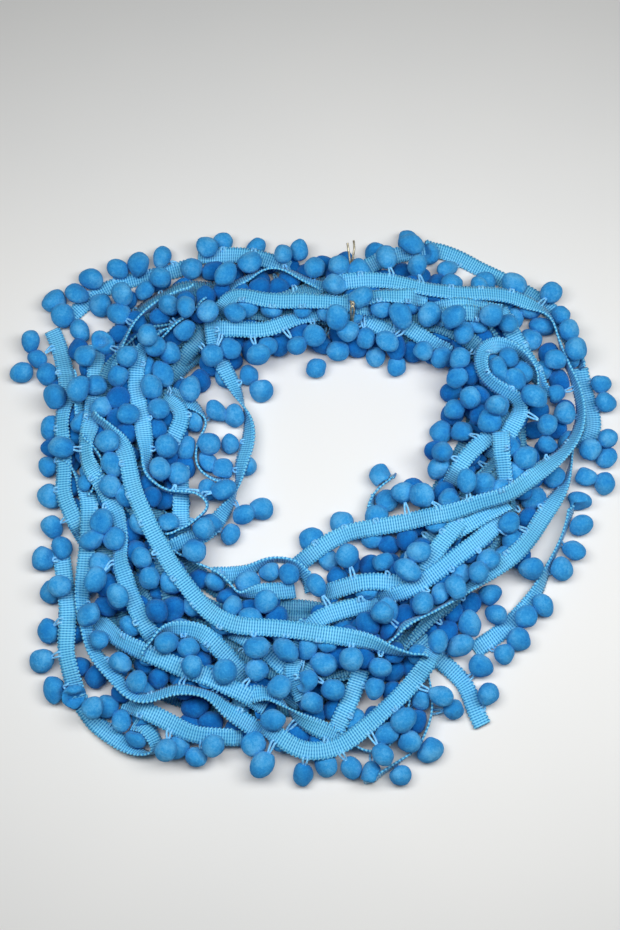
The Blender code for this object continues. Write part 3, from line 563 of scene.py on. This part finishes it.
def settle(runs, lone, lastUnder):
    # two rails for the tape's edges and a point for each pompom sink together until they lie on each other
    railA, railB, station, owner, hold, ghost = [], [], [], [], [], []
    balls, ballHome, ballHold, ballRank, ties = [], [], [], [], []
    count = 0
    for number, run in enumerate(runs):
        centre = np.column_stack([run["xy"], run["z"] * settling["pressed"]])
        width = np.column_stack([run["left"] * run["lie"][:, None], -run["stand"]])
        run["first"] = count
        railA.append(centre + width * halfWidth)
        railB.append(centre - width * halfWidth)
        size = len(centre)
        station.append(np.arange(size))
        owner.append(np.full(size, number))
        hold.append(np.full(size, settling["holdBuried"] if run["buried"] else settling["hold"]))
        ghost.append(run["free"])
        run["firstBall"] = len(balls)
        for at, target, place in run["balls"]:
            home = place if target is None else target
            tucked = target is None and not run["buried"]
            height = run["z"][at] - trim["ballRadius"] if tucked else run["ballHeight"][at]
            balls.append([home[0], home[1], height * settling["pressed"]])
            ballHome.append(home)
            firm = "holdTucked" if tucked else "holdBall"
            ballHold.append(0.0 if run["buried"] else settling[firm])
            onTop = at in run["onTop"] and number <= lastUnder
            ballRank.append(number - 0.5 if tucked else lastUnder + 0.5 if onTop else number)
            ties.append((count + at, len(balls) - 1))
        count += size
    firstLone = len(balls)
    for x, y, z, rank in lone:
        balls.append([x, y, z * settling["pressed"]])
        ballHome.append((x, y))
        ballHold.append(settling["holdLone"])
        ballRank.append(rank)
    a, b = np.vstack(railA), np.vstack(railB)
    station, owner, ghost = np.concatenate(station), np.concatenate(owner), np.concatenate(ghost)
    hold = np.concatenate(hold)[:, None]
    p = np.array(balls)
    ballHome, ballHold = np.array(ballHome, float), np.array(ballHold)[:, None]
    ballRank = np.array(ballRank, float)
    homeA, homeB = a[:, :2].copy(), b[:, :2].copy()
    ties = np.array(ties)
    tapeSink = np.where(owner == 0, settling["drop"], settling["dropTape"])

    next1 = np.nonzero(owner[:-1] == owner[1:])[0]
    next2 = np.nonzero(owner[:-2] == owner[2:])[0]
    even, odd = next1[station[next1] % 2 == 0], next1[station[next1] % 2 == 1]
    restA, restB = np.full(len(a), step), np.full(len(b), step)
    for rest, rail in ((restA, a), (restB, b)):
        long = np.linalg.norm(rail[next1 + 1, :2] - rail[next1, :2], axis=1)
        rest[next1] = np.clip(long, step * 0.95, step * 1.06)
    diagonal = math.hypot(step, trim["tapeWidth"])
    bendA = np.minimum(np.linalg.norm(a[next2 + 2] - a[next2], axis=1), 2 * step)
    bendB = np.minimum(np.linalg.norm(b[next2 + 2] - b[next2], axis=1), 2 * step)

    def pull(u, i, v, j, rest, firmness, atMost=False):
        # moves both points towards their rest length
        d = v[j] - u[i]
        long = np.linalg.norm(d, axis=1) + 1e-9
        off = (long - rest) / long
        if atMost:
            off = np.maximum(off, 0)
        d *= (off * firmness * 0.5)[:, None]
        u[i] += d
        v[j] -= d

    size = len(a)
    everyStation = np.arange(size)
    owners, stations, ghosts = np.tile(owner, 3), np.tile(station, 3), np.tile(ghost, 3)
    ranks = np.concatenate([owners.astype(float), ballRank])
    spare = settling["watchAhead"]
    loopReach = ballReach - halfWidth + settling["threadSlack"]
    lowestBall = trim["ballRadius"] - 0.2
    for turn in range(settling["passes"]):
        late = float(np.interp(turn / settling["passes"], settling["fade"], (1.0, 0.0)))
        a[:, 2] -= tapeSink * late
        b[:, 2] -= tapeSink * late
        p[:, 2] -= settling["drop"] * late
        for _ in range(settling["stiffness"]):
            pull(a, everyStation, b, everyStation, trim["tapeWidth"], 1.0)
            for part in (even, odd):
                pull(a, part, a, part + 1, restA[part], 1.0)
                pull(b, part, b, part + 1, restB[part], 1.0)
            pull(a, next1, b, next1 + 1, diagonal, settling["shear"])
            pull(b, next1, a, next1 + 1, diagonal, settling["shear"])
            pull(a, next2, a, next2 + 2, bendA, settling["bend"])
            pull(b, next2, b, next2 + 2, bendB, settling["bend"])
        pull(a, ties[:, 0], p, ties[:, 1], loopReach, settling["thread"], atMost=True)
        if turn % settling["watchEvery"] == 0:
            tapes, ballPoints = np.vstack([a, b, (a + b) / 2]), p
            i, j = nearPairs(tapes, tapes, settling["tapeGap"] + spare)
            own = (owners[i] == owners[j]) & (np.abs(stations[i] - stations[j]) <= settling["nearStations"])
            keep = (i < j) & ~own & ~ghosts[i] & ~ghosts[j]
            pairs = [(i[keep], j[keep], settling["tapeGap"])]
            i, j = nearPairs(ballPoints, ballPoints, settling["ballGap"] + spare)
            keep = i < j
            pairs.append((i[keep] + 3 * size, j[keep] + 3 * size, settling["ballGap"]))
            i, j = nearPairs(ballPoints, tapes, settling["ballToTape"] + spare)
            keep = ~ghosts[j]
            pairs.append((j[keep], i[keep] + 3 * size, settling["ballToTape"]))
            i, j = (np.concatenate([pair[k] for pair in pairs]) for k in (0, 1))
            least = np.concatenate([np.full(len(pair[0]), pair[2]) for pair in pairs])
            lift = np.sign(ranks[j] - ranks[i]) * settling["order"]
        for _ in range(settling["touches"]):
            points = np.vstack([a, b, (a + b) / 2, p])
            d = points[j] - points[i]
            apart = np.linalg.norm(d, axis=1) + 1e-9
            deep = np.maximum(least - apart, 0)
            d[:, 2] += np.where(apart < least, lift, 0.0)
            push = d * (deep * 0.5 / (np.linalg.norm(d, axis=1) + 1e-9))[:, None]
            touching = (deep > 0).astype(float)
            total = np.zeros_like(points)
            number = np.bincount(i, touching, len(points)) + np.bincount(j, touching, len(points))
            for axis in range(3):
                total[:, axis] = np.bincount(j, push[:, axis], len(points))
                total[:, axis] -= np.bincount(i, push[:, axis], len(points))
            total *= (2.0 / np.maximum(number, 2.0))[:, None]
            middle = total[2 * size:3 * size]
            a += total[:size] + middle * settling["middleShare"]
            b += total[size:2 * size] + middle * settling["middleShare"]
            p += total[3 * size:]
            p[:, 2] = np.maximum(p[:, 2], lowestBall)
        for rail, home in ((a, homeA), (b, homeB)):
            rail[:, :2] += (seenFrom(home, rail[:, 2]) - rail[:, :2]) * hold
            rail[:, 2] = np.maximum(rail[:, 2], settling["lowestTape"])
        p[:, :2] += (seenFrom(ballHome, p[:, 2]) - p[:, :2]) * ballHold
        p[:, 2] = np.maximum(p[:, 2], lowestBall)
    kinds = {"pompoms": least == settling["ballGap"], "tape": least == settling["tapeGap"],
             "pompoms on tape": least == settling["ballToTape"]}
    for kind, chosen in kinds.items():
        short = np.maximum(least - apart, 0)[chosen]
        short = short[short > 0]
        print(kind, "overlap", round(float(short.mean()), 2), "mm,", int((short > 3).sum()), "of", len(short),
              "by over 3 mm")
    for run in runs:
        last = run["first"] + len(run["xy"])
        run["edge"], run["back"] = a[run["first"]:last], b[run["first"]:last]
        run["ballPlaces"] = p[run["firstBall"]:run["firstBall"] + len(run["balls"])]
    return p[firstLone:]


def seenFrom(home, z):
    # the place at this height that the camera sees where it sees the traced one
    share = (cameraPlace[2] - z) / (cameraPlace[2] - camera["tracedHeight"])
    return cameraPlace[:2] + (home - cameraPlace[:2]) * share[:, None]


def seenOnFloor(points):
    # where the camera's line of sight through each point meets the floor
    share = cameraPlace[2] / (cameraPlace[2] - points[:, 2])
    return cameraPlace[:2] + (points[:, :2] - cameraPlace[:2]) * share[:, None]


cutting = {
    "underBall": 5.2,
    "underTape": 4.4,
    "below": 2.5,  # how far over an end something has to lie to hide it
    "offTable": 3.0,  # an end that is higher up than this may also go in among pompoms
    "nearBall": 12.0,
}


def cutEnds(runs, balls):
    # a diving end is cut off from where nothing hides it
    middles = [(run["edge"] + run["back"]) / 2 for run in runs]
    lines = np.vstack([middle[~run["free"]] for run, middle in zip(runs, middles)])
    over = np.vstack([balls, lines])
    reach = np.repeat([cutting["underBall"], cutting["underTape"]], [len(balls), len(lines)])
    seen = seenOnFloor(over)
    for run, middle in zip(runs, middles):
        inner = np.nonzero(~run["free"])[0]
        first, last = inner[0], inner[-1]

        def hidden(station):
            place = middle[station:station + 1]
            away = np.linalg.norm(seen - seenOnFloor(place), axis=1)
            if ((away < reach) & (over[:, 2] > place[0, 2] + cutting["below"])).any():
                return True
            return place[0, 2] > cutting["offTable"] and (away[:len(balls)] < cutting["nearBall"]).any()

        while first > 0 and hidden(first - 1):
            first -= 1
        while last < len(middle) - 1 and hidden(last + 1):
            last += 1
        run["shown"] = slice(first, last + 1)


def toFrame(points):
    return (np.asarray(points) - np.array([*trim["middle"], 0.0])) * mm


def smoothRail(rail, passes=2):
    rail = rail.copy()
    for _ in range(passes):
        rail[1:-1] = rail[1:-1] * 0.5 + (rail[:-2] + rail[2:]) * 0.25
    return rail


def shownRails(run):
    return smoothRail(run["edge"])[run["shown"]], smoothRail(run["back"])[run["shown"]]


def unit(ways):
    return ways / (np.linalg.norm(ways, axis=-1, keepdims=True) + 1e-9)


def linked(name, data):
    obj = bpy.data.objects.new(name, data)
    bpy.context.scene.collection.objects.link(obj)
    return obj


def newObject(name, made, material):
    mesh = bpy.data.meshes.new(name)
    made.to_mesh(mesh)
    made.free()
    mesh.materials.append(material)
    return linked(name, mesh)


def makeTape(name, runs, material):
    # a grid for each run, bent along its settled rails, ribbed across and scalloped at both edges
    made = bmesh.new()
    uv = made.loops.layers.uv.new("UVMap")
    acrossCount = 2 if runs[0]["buried"] else 4
    half = trim["ribPitch"] / 2
    total = 0.0
    along = 0.0
    for run in runs:
        edge, back = shownRails(run)
        both = smoothRoute(np.hstack([(edge + back) / 2, edge - back]), half)
        centre, across = both[:, :3], unit(both[:, 3:])
        normal = unit(np.cross(unit(np.gradient(centre, axis=0)), across))
        count = len(centre) - 1
        rib = (np.arange(count + 1) % 2) * 2.0 - 1.0
        grid = bmesh.ops.create_grid(made, x_segments=count, y_segments=acrossCount, size=1.0)
        spots = {}
        for vertex in grid["verts"]:
            station = round((vertex.co.x + 1) / 2 * count)
            share = vertex.co.y
            reach = share * halfWidth
            if abs(share) > 0.9:  # one of the two edges
                reach += math.copysign(1.0, share) * trim["scallops"][station % 3]
            raised = rib[station] * trim["ribDepth"]
            place = centre[station] + across[station] * reach + normal[station] * raised
            spots[vertex] = (along + station * half, share * halfWidth)
            vertex.co = toFrame(place)
        for face in {face for vertex in grid["verts"] for face in vertex.link_faces}:
            for loop in face.loops:
                loop[uv].uv = [value / trim["ribPitch"] for value in spots[loop.vert]]
            face.smooth = True
        total += count * half
        along += (count // 2 + 2) * trim["ribPitch"]
    obj = newObject(name, made, material)
    thick = obj.modifiers.new("thickness", "SOLIDIFY")
    thick.thickness = trim["tapeThickness"] * mm
    thick.offset = 0.0
    return obj, total * mm


def tapeStations(runs):
    # the middle, the direction across and the normal at every station, for what presses on the pompoms
    middles, acrosses, normals = [], [], []
    for run in runs:
        edge, back = shownRails(run)
        centre = (edge + back) / 2
        middle, across, forward = (np.vstack([rows, (rows[1:] + rows[:-1]) / 2])  # and half way between
                                   for rows in (centre, edge - back, np.gradient(centre, axis=0)))
        middles.append(middle)
        acrosses.append(unit(across))
        normals.append(unit(np.cross(forward, across)))
    return np.vstack(middles), np.vstack(acrosses), np.vstack(normals)


pressing = {
    "reach": 13.0,  # how near to a pompom's middle a station of the tape counts
    "among": 2.5,  # nearer to the tape than this, a pompom is pushed to its lower side
    "clear": 1.5,
    "margin": 0.8,
    "alongShare": 0.45,
    "table": 0.3,
}


def pressed(points, place, stations):
    # a soft pompom gives way to the tapes that cross it, and lies flat on the table
    middles, acrosses, normals = stations
    for k in np.nonzero(((middles - place) ** 2).sum(axis=1) < pressing["reach"] ** 2)[0]:
        across, normal = acrosses[k], normals[k]
        forward = np.cross(across, normal)
        out = place - middles[k]
        side = 1.0 if out @ normal > 0 else -1.0
        if abs(out @ normal) < pressing["among"] and abs(out @ across) < halfWidth:
            side = -1.0 if normal[2] > 0 else 1.0
        away = points - middles[k]
        level = away @ normal * side
        over = np.abs(away @ forward) < step * pressing["alongShare"]
        over &= np.abs(away @ across) < halfWidth + pressing["margin"]
        over &= level < pressing["clear"]
        points[over] += np.outer(pressing["clear"] - level[over], normal * side)
    points[:, 2] = np.maximum(points[:, 2], pressing["table"])
    return points


ballShape = {
    "lengths": (0.9, 0.96, 1.0, 1.06, 1.14, 1.24, 1.36),
    "touching": 1.35,  # nearer to its tape than so many radii, a pompom is pressed flat against it
    "flattened": 0.88,
    "widths": (0.88, 1.04),
    "sizes": (0.95, 1.17),
    "tapers": (0.0, 0.13),
    "bumps": ((1.1, 0.24), (2.6, 0.12)),  # how close together, and how deep
    "navel": 0.16,
}


def makeBalls(name, balls, stations, material):
    # felted pompoms: round to oval, drawn in a little where the loop enters, and uneven all over
    made = bmesh.new()
    draw = random.Random(name)
    for place, root in balls:
        towards = Vector(root) - Vector(place)
        spin = Matrix.Rotation(draw.uniform(0, 6.28), 3, "Z")
        turn = towards.to_track_quat("Z", "Y").to_matrix() @ spin
        long = draw.choice(ballShape["lengths"])
        if towards.length < trim["ballRadius"] * ballShape["touching"]:
            long = ballShape["flattened"]
        wide = draw.uniform(*ballShape["widths"])
        size = trim["ballRadius"] * draw.uniform(*ballShape["sizes"]) / long ** (1 / 3)
        taper = draw.uniform(*ballShape["tapers"])
        offset = Vector([draw.uniform(-50, 50) for _ in range(3)])
        vertices = bmesh.ops.create_icosphere(made, subdivisions=2, radius=1.0)["verts"]
        points = []
        for vertex in vertices:
            way = vertex.co
            out = 1.0 - (ballShape["navel"] if way.z > 0.95 else 0.0)
            for pitch, depth in ballShape["bumps"]:
                out += depth * noise.noise(way * pitch + offset)
            slim = 1 - taper * way.z
            shaped = Vector((way.x * wide * slim, way.y / wide * slim, way.z * long)) * (out * size)
            points.append(turn @ shaped)
        points = toFrame(pressed(np.array(points) + place, place, stations))
        for vertex, point in zip(vertices, points):
            vertex.co = point
    for face in made.faces:
        face.smooth = True
    obj = newObject(name, made, material)
    rounded = obj.modifiers.new("rounded", "SUBSURF")
    rounded.levels = rounded.render_levels = 1
    return obj


loopShape = {
    "sewn": 2.2,  # how far in from the tape's edge the two threads start
    "overEdge": 1.2,
    "apart": 1.25,
    "rise": 0.85,
    "into": 0.9,  # where they meet in the pompom, in radii from its middle
}


def loopFrom(run, station, place):
    # the two threads start on the tape's face, leave over its edge, and meet in the pompom
    edge, back = run["edge"][station], run["back"][station]
    before, after = run["edge"][max(station - 1, 0)], run["edge"][min(station + 1, len(run["edge"]) - 1)]
    along, outwards = unit(after - before), unit(edge - back)
    up = np.cross(along, outwards)
    up = up if up[2] > 0 else -up
    root = place + unit(edge - place) * trim["ballRadius"] * loopShape["into"]
    threads = []
    for side in (-1.0, 1.0):
        apart = along * side * loopShape["apart"]
        threads.append([
            edge - outwards * loopShape["sewn"] + apart + up * 0.1,
            edge - outwards * loopShape["overEdge"] + apart + up * loopShape["rise"],
            edge + apart + up * 0.75,
            (edge + root) / 2 + apart * 0.8 + up * 0.35,
            root + apart * 0.25,
        ])
    return threads, edge


def makeLoops(name, loops, material):
    # round threads or wires along their points
    curve = bpy.data.curves.new(name, "CURVE")
    curve.dimensions = "3D"
    curve.bevel_depth = trim["loopThread"] * mm
    curve.bevel_resolution = 1
    curve.use_fill_caps = True
    for points in loops:
        line = smoothRoute(points, trim["loopStep"])
        spline = curve.splines.new("POLY")
        spline.points.add(len(line) - 1)
        for point, place in zip(spline.points, toFrame(line)):
            point.co = (*place, 1.0)
    rough = linked(name + "Curve", curve)
    mesh = bpy.data.meshes.new_from_object(rough.evaluated_get(bpy.context.evaluated_depsgraph_get()))
    bpy.data.objects.remove(rough, do_unlink=True)
    mesh.materials.clear()
    mesh.materials.append(material)
    mesh.shade_smooth()
    return linked(name, mesh)


def linear(red, green, blue):
    # a screen colour as the values that a shader takes
    values = [v / 255 / 12.92 if v <= 10 else ((v / 255 + 0.055) / 1.055) ** 2.4 for v in (red, green, blue)]
    return (*values, 1.0)


class Nodes:
    # short ways to add and join a material's nodes

    def __init__(self, name):
        self.material = bpy.data.materials.new(name)
        self.material.use_nodes = True
        self.tree = self.material.node_tree
        self.shader = self.tree.nodes["Principled BSDF"]

    def add(self, kind, **values):
        node = self.tree.nodes.new(kind)
        for key, value in values.items():
            setattr(node, key, value)
        return node

    def join(self, start, end):
        self.tree.links.new(start, end)

    def give(self, socket, value):
        # a fixed value, or another node's output
        if isinstance(value, (int, float, tuple)):
            socket.default_value = value
        else:
            self.join(value, socket)

    def math(self, operation, first, second=0.0, third=0.0):
        node = self.add("ShaderNodeMath", operation=operation)
        for socket, value in zip(node.inputs, (first, second, third)):
            self.give(socket, value)
        return node.outputs[0]

    def ramp(self, value, stops):
        node = self.add("ShaderNodeValToRGB")
        ramp = node.color_ramp
        while len(ramp.elements) < len(stops):
            ramp.elements.new(0.5)
        for element, (at, colour) in zip(ramp.elements, stops):
            element.position = at
            element.color = colour
        self.join(value, node.inputs["Fac"])
        return node.outputs["Color"]

    def noise(self, scale, detail=3.0, rough=0.6, vector=None):
        node = self.add("ShaderNodeTexNoise")
        node.inputs["Scale"].default_value = scale
        node.inputs["Detail"].default_value = detail
        node.inputs["Roughness"].default_value = rough
        if vector is None:
            vector = self.add("ShaderNodeTexCoord").outputs["Object"]
        self.join(vector, node.inputs["Vector"])
        return node.outputs["Fac"]

    def bump(self, height, distance, strength):
        node = self.add("ShaderNodeBump")
        node.inputs["Distance"].default_value = distance
        node.inputs["Strength"].default_value = strength
        self.join(height, node.inputs["Height"])
        self.join(node.outputs["Normal"], self.shader.inputs["Normal"])

    def tint(self, colour, other, share, blend="MIX"):
        node = self.add("ShaderNodeMix", data_type="RGBA", blend_type=blend)
        for socket, value in ((node.inputs[0], share), (node.inputs[6], colour), (node.inputs[7], other)):
            self.give(socket, value)
        return node.outputs[2]

    def finish(self, colour, settings):
        self.join(colour, self.shader.inputs["Base Color"])
        for name, value in settings.items():
            self.shader.inputs[name].default_value = value


tapeLook = {
    # the crest colour is a painted highlight on the tops of the ribs and at the selvedge, the groove colour
    # is painted shade between the ribs, and the face colour is the tape's own
    "crestHighlight": (132, 216, 246),
    "face": (62, 168, 226),
    "grooveShade": (12, 84, 168),
    # painted shade: the tape of the buried turns is drawn with only this share of its lightness, darker for
    # lying deep in the heap
    "underneath": 0.62,  # how much of its lightness the tape of the buried turns keeps
    "lengthwiseRows": 5,
    "selvedge": 0.55,  # the plain edge on each side
    "fibre": 0.25,
    "sockets": {
        "Roughness": 0.5,
        "Specular IOR Level": 0.4,
        "Sheen Weight": 0.12,
        "Sheen Roughness": 0.4,
    },
}


def tapeMaterial(name, lightness):
    # crossing ribs and lengthwise rows of stitches, both from the tape's own map, a unit of which is a rib
    n = Nodes(name)
    where = n.add("ShaderNodeSeparateXYZ")
    n.join(n.add("ShaderNodeUVMap", uv_map="UVMap").outputs["UV"], where.inputs["Vector"])
    along, across = where.outputs["X"], where.outputs["Y"]
    rib = n.math("MULTIPLY", n.math("PINGPONG", along, 0.5), 2.0)
    rowWidth = trim["tapeWidth"] / tapeLook["lengthwiseRows"] / trim["ribPitch"]
    row = n.math("MULTIPLY", n.math("PINGPONG", across, rowWidth / 2), 2.0 / rowWidth)
    edgeFrom = (halfWidth - tapeLook["selvedge"]) / trim["ribPitch"]
    selvedge = n.math("GREATER_THAN", n.math("ABSOLUTE", across), edgeFrom)
    # a hole of shade is left only where a groove between two ribs meets a gap between two rows
    grooveShade = n.math("SUBTRACT", 1.0, n.math("POWER", rib, 0.7))
    gap = n.math("SUBTRACT", 1.0, n.math("MULTIPLY", n.math("POWER", row, 0.7), 0.5))
    stitch = n.math("SUBTRACT", 1.0, n.math("MULTIPLY", grooveShade, gap))
    # along each selvedge a painted highlight at the tips of the scallops, with painted shade between them
    tip = n.math("MULTIPLY", n.math("PINGPONG", along, 0.75), 1.0 / 0.75)
    rim = n.math("ADD", 0.3, n.math("MULTIPLY", tip, 0.95))
    stitch = n.math("ADD", n.math("MULTIPLY", n.math("SUBTRACT", 1.0, selvedge), stitch),
                    n.math("MULTIPLY", selvedge, rim))
    fibre = n.noise(1500.0, 2.0)
    stitch = n.math("ADD", stitch, n.math("MULTIPLY", n.math("SUBTRACT", fibre, 0.5), tapeLook["fibre"]))
    # painted shade in the grooves and painted highlight on the crests, over the tape's own face colour
    colour = n.ramp(stitch, [(0.1, linear(*tapeLook["grooveShade"])), (0.58, linear(*tapeLook["face"])),
                             (1.0, linear(*tapeLook["crestHighlight"]))])
    # a lightness below 1 darkens the whole tape, painted shade for the buried turns
    low = tuple(lightness * value for value in (0.78, 0.88, 0.94)) + (1,)
    broad = n.ramp(n.noise(28.0, 2.0), [(0.3, low), (0.7, (lightness, lightness, lightness, 1))])
    n.finish(n.tint(colour, broad, 1.0, "MULTIPLY"), tapeLook["sockets"])
    n.bump(stitch, 0.0005, 0.9)
    return n.material


ballLook = {
    "light": (96, 180, 232),
    "mid": (52, 150, 214),
    "deep": (24, 122, 196),
    # darker copies of the three colours for the buried pompoms, painted shade for lying deep in the heap
    "lightUnder": (34, 132, 204),
    "midUnder": (14, 108, 184),
    "deepUnder": (4, 84, 162),
    "sockets": {
        "Roughness": 0.95,
        "Specular IOR Level": 0.15,
        "Sheen Weight": 0.2,
        "Sheen Roughness": 0.5,
    },
    "sheen": (150, 205, 245),
}


def ballMaterial(name, light, mid, deep):
    # felted yarn, in broad patches and fine fluff
    n = Nodes(name)
    broad = n.noise(70.0, 2.0)
    fluff = n.noise(620.0, 4.0, 0.75)
    patches = n.math("ADD", n.math("MULTIPLY", broad, 0.55), n.math("MULTIPLY", fluff, 0.45))
    colour = n.ramp(patches, [(0.34, linear(*deep)), (0.5, linear(*mid)), (0.66, linear(*light))])
    n.finish(colour, {**ballLook["sockets"], "Sheen Tint": linear(*ballLook["sheen"])})
    n.bump(fluff, 0.0012, 0.7)
    return n.material


plainLooks = {
    "loopThread": {
        "colours": [(0.3, (70, 170, 236)), (0.7, (150, 220, 250))],
        "grain": (900.0, 2.0),
        "sockets": {"Roughness": 0.6, "Sheen Weight": 0.15},
        "bump": (1400.0, 0.0004, 0.5),
    },
    "tieWire": {
        "colours": [(0.35, (120, 112, 92)), (0.65, (206, 198, 172))],
        "grain": (420.0, 3.0),
        "sockets": {"Metallic": 0.6, "Roughness": 0.35},
        "bump": (700.0, 0.0003, 0.3),
    },
    "paleTable": {
        "colours": [(0.3, (226, 227, 226)), (0.7, (231, 231, 229))],
        "grain": (3.0, 3.0),
        "sockets": {"Roughness": 0.7, "Specular IOR Level": 0.2},
    },
}


def plainMaterial(name):
    # two colours in a fine grain, and a bump where the look has one
    look = plainLooks[name]
    n = Nodes(name)
    n.finish(n.ramp(n.noise(*look["grain"]), [(at, linear(*colour)) for at, colour in look["colours"]]),
             look["sockets"])
    if "bump" in look:
        scale, distance, strength = look["bump"]
        n.bump(n.noise(scale, 2.0), distance, strength)
    return n.material


tieLook = {"x": 24.0, "top": 37.0, "under": 0.9}


def makeTie():
    # one thin wire drawn in round the bundle, twisted where it shows on top, with both free ends up behind
    x, top, under = tieLook["x"], tieLook["top"], tieLook["under"]
    return [
        [(x - 2.6, 168, 33), (x - 1.6, 162, 30), (x - 0.6, 156, 26), (x, 149, 20), (x, 140, 17), (x, 131, 24),
         (x - 1.2, 127, top - 1), (x + 1.2, 124.5, top), (x - 1.0, 122, top - 1), (x, 118, 20), (x, 113, 11),
         (x + 1, 109, 6), (x + 1, 108, 3), (x + 1, 110, 1.4), (x + 1, 116, under), (x, 138, under),
         (x, 152, under), (x - 0.5, 158, 8), (x, 157, 18), (x - 0.2, 156, 25), (x + 1.6, 164, 31),
         (x + 1.4, 170, 32)],
        [(x + 1.2, 131, 26), (x + 1.2, 127, top - 1), (x - 1.2, 124.5, top), (x + 1.0, 122, top - 1),
         (x, 118, 22)],
    ]


stageLook = {
    "floorSize": 6.0,
    "key": {"place": (0.05, -0.01, 0.6), "lean": 0.0, "wide": 0.95, "deep": 0.2, "power": 5.5},
    "side": {"place": (0.7, -0.1, 1.0), "lean": 35.0, "wide": 0.6, "deep": 0.6, "power": 0.7},
    "sky": 0.03,
}


def addLight(name, place, lean, wide, deep, power):
    light = bpy.data.lights.new(name, "AREA")
    light.shape = "RECTANGLE"
    light.size = wide
    light.size_y = deep
    light.energy = power
    obj = linked(name, light)
    obj.location = place
    obj.rotation_euler = (0, math.radians(lean), 0)


# Stages
print("routes")
traced = makeStretches()
buried = makeBuried()
placeBuriedBalls(buried)
loneLow, loneTop = placeBalls(traced)
print(len(buried["balls"]), "buried pompoms,", sum(len(run["balls"]) for run in traced), "that show,",
      len(lowPompoms) + len(loneLow) + len(loneTop), "more")

print("heap")
heap = np.zeros((heapSize, heapSize))
disk = diskOf(heaping["ballPress"])
layRun(heap, buried, disk)
low = [(x, y, layBall(heap, (x, y), disk), 0.0) for x, y in lowPompoms]
lone = [(x, y, layBall(heap, (x, y), disk), settling["rimRank"]) for x, y in loneLow]
lastUnder = len(traced) - settling["topStretches"]
for run in traced[:lastUnder]:
    layRun(heap, run, disk)
lone += [(x, y, layBall(heap, (x, y), disk), lastUnder + 0.5) for x, y in loneTop]
for run in traced[:lastUnder]:
    for station, target, _ in run["balls"]:
        if station in run["onTop"]:
            run["ballHeight"][station] = layBall(heap, target, disk)
for run in traced[lastUnder:]:
    layRun(heap, run, disk, late=True)
print("heap height", round(float(heap.max()), 1))

print("settling")
runs = [buried] + traced
lonePlaces = settle(runs, low + lone, lastUnder)
everyBall = np.vstack([run["ballPlaces"] for run in runs if len(run["balls"])] + [lonePlaces])
cutEnds(runs, everyBall)
crossings = tapeStations(runs)
print("settled height", round(float(everyBall[:, 2].max()) + trim["ballRadius"], 1))

print("materials")
tape = tapeMaterial("wovenTape", 1.0)
# a darker copy of the tape, painted shade for the buried turns
tapeShadedCopy = tapeMaterial("wovenTapePaintedShade", tapeLook["underneath"])
yarn = ballMaterial("feltedYarn", *(ballLook[key] for key in ("light", "mid", "deep")))
# a darker copy of the yarn, painted shade for the buried pompoms
yarnShadedCopy = ballMaterial("feltedYarnPaintedShade", *(ballLook[key + "Under"] for key in ("light", "mid", "deep")))
thread = plainMaterial("loopThread")
wire = plainMaterial("tieWire")

print("tape")
buriedTape, buriedLength = makeTape("buriedTape", [buried], tapeShadedCopy)
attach(buriedTape, "root")
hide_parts("wound_middle")
topTape, topLength = makeTape("topTape", traced, tape)
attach(topTape, "root")
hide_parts(*[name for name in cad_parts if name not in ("wound_middle", "tie")])
print("tape lengths", round(buriedLength, 2), round(topLength, 2))

print("pompoms")
shown, hidden, loops = [], [], []
for run in runs:
    for (station, *_), place in zip(run["balls"], run["ballPlaces"]):
        threads, edge = loopFrom(run, station, place)
        loops += threads
        (hidden if run["buried"] else shown).append((place, edge))
everyEdge = np.vstack([run["edge"] for run in runs])
for k, place in enumerate(lonePlaces):
    nearest = everyEdge[np.argmin(np.linalg.norm(everyEdge - place, axis=1))]
    (hidden if k < len(low) else shown).append((place, nearest))
pompomPieces = []
perPiece = 200
for name, balls, material in (("pompomsTop", shown, yarn), ("pompomsBuried", hidden, yarnShadedCopy)):
    for k in range(0, len(balls), perPiece):
        part = balls[k:k + perPiece]
        pompomPieces.append(makeBalls(f"{name}{k // perPiece + 1}", part, crossings, material))
for piece in pompomPieces + [makeLoops("threadLoops", loops, thread)]:
    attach(piece, "root")

tiePiece = makeLoops("tieWire", makeTie(), wire)
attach(tiePiece, "root")
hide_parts("tie")

print("stage")
made = bmesh.new()
bmesh.ops.create_grid(made, x_segments=1, y_segments=1, size=stageLook["floorSize"] / 2)
floor = newObject("table", made, plainMaterial("paleTable"))
addLight("keyLight", **stageLook["key"])
addLight("sideLight", **stageLook["side"])
world = bpy.data.worlds.new("room")
world.use_nodes = True
sky = world.node_tree.nodes["Background"].inputs
sky["Color"].default_value = (0.94, 0.97, 1.0, 1.0)
sky["Strength"].default_value = stageLook["sky"]
bpy.context.scene.world = world
bpy.context.scene.view_settings.view_transform = "Standard"

view = bpy.data.cameras.new("view")
view.lens = camera["lens"]
eye = linked("view", view)
eye.location = toFrame(cameraPlace)
eye.rotation_euler = Euler((math.radians(90 - camera["elevation"]), 0, 0))
bpy.context.scene.camera = eye
